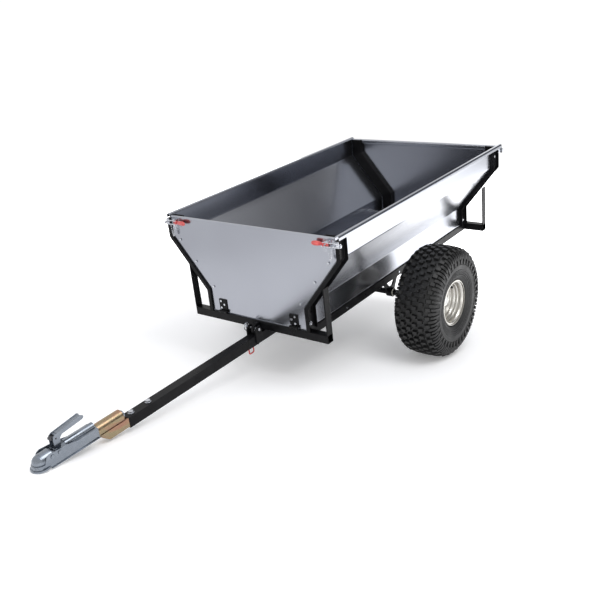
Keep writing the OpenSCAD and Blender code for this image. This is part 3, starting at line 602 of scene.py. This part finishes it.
# Shoulder lugs: bars carried along a line from the sidewall to the tread's edge, a low one and a
# high one by turns, with sides that narrow outwards
def tyreLugs(centre, tyreR, halfWidth):
    look = tyreLook
    step, lift = 2 * np.pi / look["lugs"], look["lugHigh"]
    path = np.array([[look["lugStart"], 0.1095], [0.222, 0.1085], [0.243, 0.1035],
        [0.2545, 0.0935], [0.2605, 0.084]])
    along = np.linspace(0, 4, 9)
    line = np.stack([np.interp(along, range(5), path[:, k]) for k in (0, 1)], 1)
    way = np.gradient(line, axis=0)
    out = np.abs(np.stack([way[:, 1], way[:, 0]], 1)) / np.linalg.norm(way, axis=1, keepdims=True)
    section = [(-look["root"], 1.0), (lift, look["lugTaper"]), (lift, -look["lugTaper"]),
        (-look["root"], -1.0)]
    parts = []
    for side in (-1, 1):
        for i in range(look["lugs"]):
            keep = slice(0, 7) if i % 2 else slice(2, 9)
            spine, up = line[keep], out[keep]
            corners = []
            for rise, half in section:
                r, o = spine[:, 0] + up[:, 0] * rise, spine[:, 1] + up[:, 1] * rise
                turn = step * i + half * look["lugHalf"][i % 2] / r
                offs = side * np.minimum(o, halfWidth)
                corners.append(aroundWheel(centre, offs, np.minimum(r, tyreR), turn))
            parts.append((*loft(np.stack(corners, 1)), 0))
    return parts


def makeTyre(name):
    low, high = np.array(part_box("tyre_" + name))
    centre, tyreR = (low + high) / 2, (high[2] - low[2]) / 2
    parts = tyreCarcass(centre) + tyreKnobs(centre, tyreR) \
        + tyreLugs(centre, tyreR, (high[0] - low[0]) / 2)
    makePiece("tyre" + name.title(), parts, "tyre_rubber", "wheel_" + name, 38, ["tyre_" + name],
        [paintedSheenSideRubber, grooveRubber])
    return centre


# A stepped barrel and a dished disc, each a rounded outline turned about the axle
def makeRim(name, centre):
    k = rimLook
    half = [[0.110, 0.0945], [k["flange"] - 0.0005, 0.0935], [0.1155, 0.087], [0.1045, 0.084],
        [k["seat"], 0.078], [0.0995, 0.064], [0.0945, 0.060], [0.0935, 0.050], [0.0885, 0.046],
        [k["well"], 0.040]]
    path = np.vstack([half, (np.array(half) * [1, -1])[::-1]])
    path = roundPath(path, 0.0018, 4)
    barrel = np.vstack([path, offsetPath(path, k["wall"])[::-1]])
    disc = [[0.029, 0.0225], [0.040, 0.0225], [0.045, 0.0250], [0.055, 0.0250], [0.061, 0.0215],
        [0.070, 0.0215], [0.0755, 0.0262], [0.0785, 0.034], [k["well"] - 0.0005, 0.036]]
    disc = roundPath(np.array(disc), 0.0022, 4)
    disc = np.vstack([disc, offsetPath(disc, k["disc"])[::-1]])
    parts = [revolved(barrel, centre, 128), revolved(disc, centre, 128)]
    makePiece("rim" + name.title(), parts, "rim_silver", "wheel_" + name, 30, ["rim_" + name])


def makeValve(name, centre):  # a rubber stem through the rim's well, with a small cap
    sign, turn = np.sign(centre[0]), math.radians(68)
    r = rimLook["well"] - 0.004
    start = centre + np.array([sign * 0.038, r * math.cos(turn), r * math.sin(turn)])
    way = np.array([sign * 0.9, -0.3 * math.cos(turn), -0.3 * math.sin(turn)])
    way /= np.linalg.norm(way)
    along = np.array([0, 0.002, 0.006, 0.018, 0.0181, 0.028, 0.03])
    radii = np.array([0.008, 0.008, 0.0052, 0.0046, 0.0056, 0.0056, 0.004])
    stem = tube(start + way * along[:, None], radii, 16)
    makePiece("valve" + name.title(), [stem], "tyre_rubber", "wheel_" + name)


for wheelSide in ("left", "right"):
    wheelCentre = makeTyre(wheelSide)
    makeRim(wheelSide, wheelCentre)
    makeValve(wheelSide, wheelCentre)
print("wheels ready")


latch = dict(gripStart=0.024, gripLength=0.052, gripHigh=0.0125, gripThick=0.0065, sleeve=0.001,
    linkStep=0.0065, wire=0.0024, bailHalf=0.009, chainLinks=15, chainDrop=0.052, chainReach=0.017,
    linkWire=0.0013, linkLong=0.0085, linkWide=0.0048, ringWire=0.0012)


# The red grip is a row of ellipses along the lever, fuller towards its end. Steel bars join it to
# its pin, forked round the bail's pin.
def makeLever(corner, pin, bailPin, s, out):
    k, rings, sides = latch, 15, 20
    t = np.linspace(0, 1, rings)
    full = np.sin(np.pi * np.clip(0.14 + 0.86 * t, 0, 1)) ** 0.42
    turn = np.linspace(0, 2 * np.pi, sides, endpoint=False)
    x = pin[0] - s * (k["gripStart"] + k["gripLength"] * t)
    high = k["gripHigh"] * (0.62 + 0.38 * t) * full + k["sleeve"]
    thick = k["gripThick"] * full + k["sleeve"]
    y = pin[1] + out * (0.003 + 0.004 * t ** 2)
    ring = np.stack([np.broadcast_to(x[:, None], (rings, sides)),
        y[:, None] + thick[:, None] * np.cos(turn), pin[2] + high[:, None] * np.sin(turn)], -1)
    steel = []
    for z in (-k["linkStep"], k["linkStep"]):
        line = np.array([[pin[0], pin[1], pin[2] + z],
            [bailPin[0] + s * 0.004, bailPin[1] - out * 0.003, pin[2] + z],
            [pin[0] - s * k["gripStart"], pin[1] + out * 0.003, pin[2] + z * 0.6],
            [pin[0] - s * 0.034, pin[1] + out * 0.003, pin[2] + z * 0.5]])
        steel.append(tube(toRow(line), [0.0045, 0.0045, 0.004, 0.004], 12) + (1,))
    for centre, r, tall in ((pin, 0.0058, 0.0105), (bailPin, 0.0042, 0.0075)):
        ends = centre + np.array([[0, 0, z] for z in (-tall, -tall + 0.001, tall - 0.001, tall)])
        steel.append(tube(toRow(ends), [r * 0.85, r, r, r * 0.85], 16) + (1,))
    makePiece("latchLever" + corner.upper(), [loft(toRow(ring)) + (0,)] + steel, "red_coating",
        "latch_lever_" + corner, 40, ["latch_lever_" + corner], [finish["bright_zinc"]])


# Two wires joined by a half circle around the keeper's peg, and a third across the lever
def makeBail(corner, pin, bailPin, s):
    half, wire = latch["bailHalf"], latch["wire"]
    low, high = levelBox("latch_bail_" + corner)
    far = (high[0] if s > 0 else low[0]) - s * (half + wire)
    arc = np.linspace(np.pi / 2, -np.pi / 2, 13)
    bend = np.stack([far + s * half * np.cos(arc), 0 * arc, half * np.sin(arc)], -1)
    ends = np.array([[bailPin[0], 0, half]])
    middle = (bailPin[0] + far) / 2
    route = np.vstack([ends, [[middle, 0, half]], bend, [[middle, 0, -half]], ends * [1, 1, -1]])
    route = route + [0, bailPin[1], pin[2]]
    across = np.array([bailPin - [0, 0, half], bailPin + [0, 0, half]])
    makePiece("latchBail" + corner.upper(), [tube(toRow(route), wire, 12),
        tube(toRow(across), wire, 12)], "bright_zinc", "latch_bail_" + corner, 40,
        ["latch_bail_" + corner])


# Links along a parabola, each turned a quarter from the last, and two split rings beside the pin
def makeChain(corner, pin, s, out):
    k, count = latch, latch["chainLinks"]
    w = np.linspace(-1, 1, count)
    hang = np.stack([pin[0] + s * (0.006 + k["chainReach"] * (w + 1) / 2),
        np.full(count, pin[1] + out * 0.004),
        pin[2] - 0.016 - k["chainDrop"] * (1 - w ** 2) - 0.004 * w], -1)
    turn = np.linspace(0, 2 * np.pi, 14, endpoint=False)
    chain = []
    for i, (spot, way) in enumerate(zip(hang, np.gradient(hang, axis=0))):
        way = way / np.linalg.norm(way)
        flat = np.array([0, 1.0, 0]) if i % 2 else np.cross(way, [0, 1.0, 0])
        loop = spot + k["linkLong"] / 2 * np.cos(turn)[:, None] * way \
            + k["linkWide"] / 2 * np.sin(turn)[:, None] * flat
        chain.append(tube(toRow(loop), k["linkWire"] * 0.75, 6, closed=True))
    for inward, drop, r in ((0.014, 0.010, 0.0085), (0.006, 0.024, 0.0065)):
        loop = np.stack([pin[0] - s * inward + r * np.cos(turn), np.full(14, pin[1] + out * 0.0085),
            pin[2] - drop + r * np.sin(turn)], -1)
        chain.append(tube(toRow(loop), k["ringWire"], 8, closed=True))
    gateBody = "front_gate" if corner[0] == "f" else "rear_gate"
    makePiece("latchChain" + corner.upper(), chain, "bright_zinc", gateBody, 60)


def makeLatch(corner):
    pin = toLevel(joints["latch_" + corner + "_swing"]["pos_m"])
    bailPin = toLevel(joints["bail_" + corner + "_swing"]["pos_m"])
    s, out = np.sign(pin[0]), (-1 if corner[0] == "f" else 1)
    makeLever(corner, pin, bailPin, s, out)
    makeBail(corner, pin, bailPin, s)
    makeChain(corner, pin, s, out)


for latchCorner in ("fl", "fr", "rl", "rr"):
    makeLatch(latchCorner)
print("latches ready")


# A coated wire bent into a U, on its bar in the sleeve below the drawbar
def makeHandle():
    low, high = levelBox("release_handle")
    r = (high[0] - low[0]) / 2
    x = (low[0] + high[0]) / 2
    y0, y1, top, bottom = low[1] + r, high[1] - r, high[2] - r, low[2] + r
    corners = [[y0, top], [y0, bottom], [y1, bottom], [y1, top]]
    line = roundPath(np.array(corners), 0.008, 8)
    route = np.stack([np.full(len(line), x), line[:, 0], line[:, 1]], -1)
    bar = np.array([[x, y0, top], [x, y1, top]])
    makePiece("releaseHandle", [tube(toRow(route), r, 14), tube(toRow(bar), r, 14)], "red_coating",
        "release_handle", 40, ["release_handle"])


makeHandle()
print("release handle ready")


camera = dict(target=(0.0, 0.1404, 0.2875), azimuth=36.92, elevation=15.415, distance=3.8816,
    lens=46.78)


def makeCamera():
    a, e = math.radians(camera["azimuth"]), math.radians(camera["elevation"])
    back = Vector((math.sin(a) * math.cos(e), -math.cos(a) * math.cos(e), math.sin(e)))
    data = bpy.data.cameras.new("view")
    data.lens = camera["lens"]
    data.sensor_width = 36
    data.clip_end = 100
    eye = bpy.data.objects.new("view", data)
    eye.location = Vector(camera["target"]) + back * camera["distance"]
    eye.rotation_euler = back.to_track_quat("Z", "Y").to_euler()
    bpy.context.scene.collection.objects.link(eye)
    bpy.context.scene.camera = eye


def makeFloor():
    mat, nodes, links, shader, coords = newMaterial("paleGlowingFloor", (0.93, 0.93, 0.935), 0.6)
    cloud = noiseOf(nodes, links, coords, 1.5, 2)
    tint(nodes, links, shader, cloud, [(0.3, (0.92, 0.92, 0.925)), (0.7, (0.94, 0.94, 0.945))])
    # The floor glows, a painted light that grows bright away from the cart, so that only the shadows
    # close to it stay. Past the cart's left the glow is left out again, as far out as the backdrop,
    # a painted shade in what the front gate reflects.
    distance = vectorValue(nodes, links, "LENGTH", coords)
    glow = spread(nodes, links, distance, 0.2, 1.9, 1.25, 2.6)
    towardsView = vectorValue(nodes, links, "DOT_PRODUCT", coords, (0.53, 0.85, 0))
    fade = spread(nodes, links, towardsView, 0.0, 1.0, -1.42, -1.14)
    far = spread(nodes, links, distance, 0.0, 1.0, 3.0, 5.0)
    kept = combined(nodes, links, "MAXIMUM", fade, far)
    shader.inputs["Emission Color"].default_value = (1, 1, 1, 1)
    links.new(combined(nodes, links, "MULTIPLY", glow, kept), shader.inputs["Emission Strength"])
    mesh = bpy.data.meshes.new("floor")
    r = 9.0
    mesh.from_pydata([(-r, -r, 0), (r, -r, 0), (r, r, 0), (-r, r, 0)], [], [(0, 1, 2, 3)])
    mesh.materials.append(mat)
    floor = bpy.data.objects.new("floor", mesh)
    floor.location.z = -0.0005
    bpy.context.scene.collection.objects.link(floor)


def areaLight(name, place, aim, size, power, colour=(1, 1, 1)):
    data = bpy.data.lights.new(name, "AREA")
    data.shape = "RECTANGLE"
    data.size, data.size_y = size
    data.energy = power
    data.color = colour
    lamp = bpy.data.objects.new(name, data)
    lamp.location = place
    lamp.rotation_euler = (Vector(place) - Vector(aim)).to_track_quat("Z", "Y").to_euler()
    bpy.context.scene.collection.objects.link(lamp)


# White near the horizon, darker overhead, as in a studio with a pale sweep and a dim ceiling
def makeWorld():
    world = bpy.data.worlds.new("studio")
    world.use_nodes = True
    nodes, links = world.node_tree.nodes, world.node_tree.links
    back = nodes["Background"]
    ray = nodes.new("ShaderNodeTexCoord").outputs["Generated"]
    height = vectorValue(nodes, links, "DOT_PRODUCT", ray, (0, 0, 1))
    shade = rampOf(nodes, links, height, [(0.0, (0.4, 0.4, 0.4)), (0.115, (0.4, 0.4, 0.4)),
        (0.19, (0.13, 0.14, 0.155)), (0.32, (0.02, 0.022, 0.027)), (0.66, (0.03, 0.032, 0.04)),
        (0.84, (0.3, 0.31, 0.34)), (0.97, (0.4, 0.41, 0.44))])
    # Away from the rear right it never gets darker than this
    toRearRight = vectorValue(nodes, links, "DOT_PRODUCT", ray, (0.45, 0.89, 0))
    lift = spread(nodes, links, toRearRight, 0.36, 0.0, 0.6, 0.8)
    lighter = nodes.new("ShaderNodeMix")
    lighter.data_type = "RGBA"
    lighter.blend_type = "LIGHTEN"
    lighter.inputs["Factor"].default_value = 1.0
    links.new(shade, lighter.inputs[6])
    links.new(lift, lighter.inputs[7])
    links.new(lighter.outputs[2], back.inputs["Color"])
    back.inputs["Strength"].default_value = 2.6
    bpy.context.scene.world = world


makeCamera()
makeFloor()
makeWorld()
areaLight("topSoft", (2.3, -0.2, 4.2), (0.6, 0.1, 0.2), (2.4, 2.4), 70)
areaLight("rearCard", (0.0, 2.9, 1.75), (-0.4, 1.0, 0.8), (1.3, 0.8), 3)
bpy.context.scene.view_settings.view_transform = "Standard"
print("studio ready")
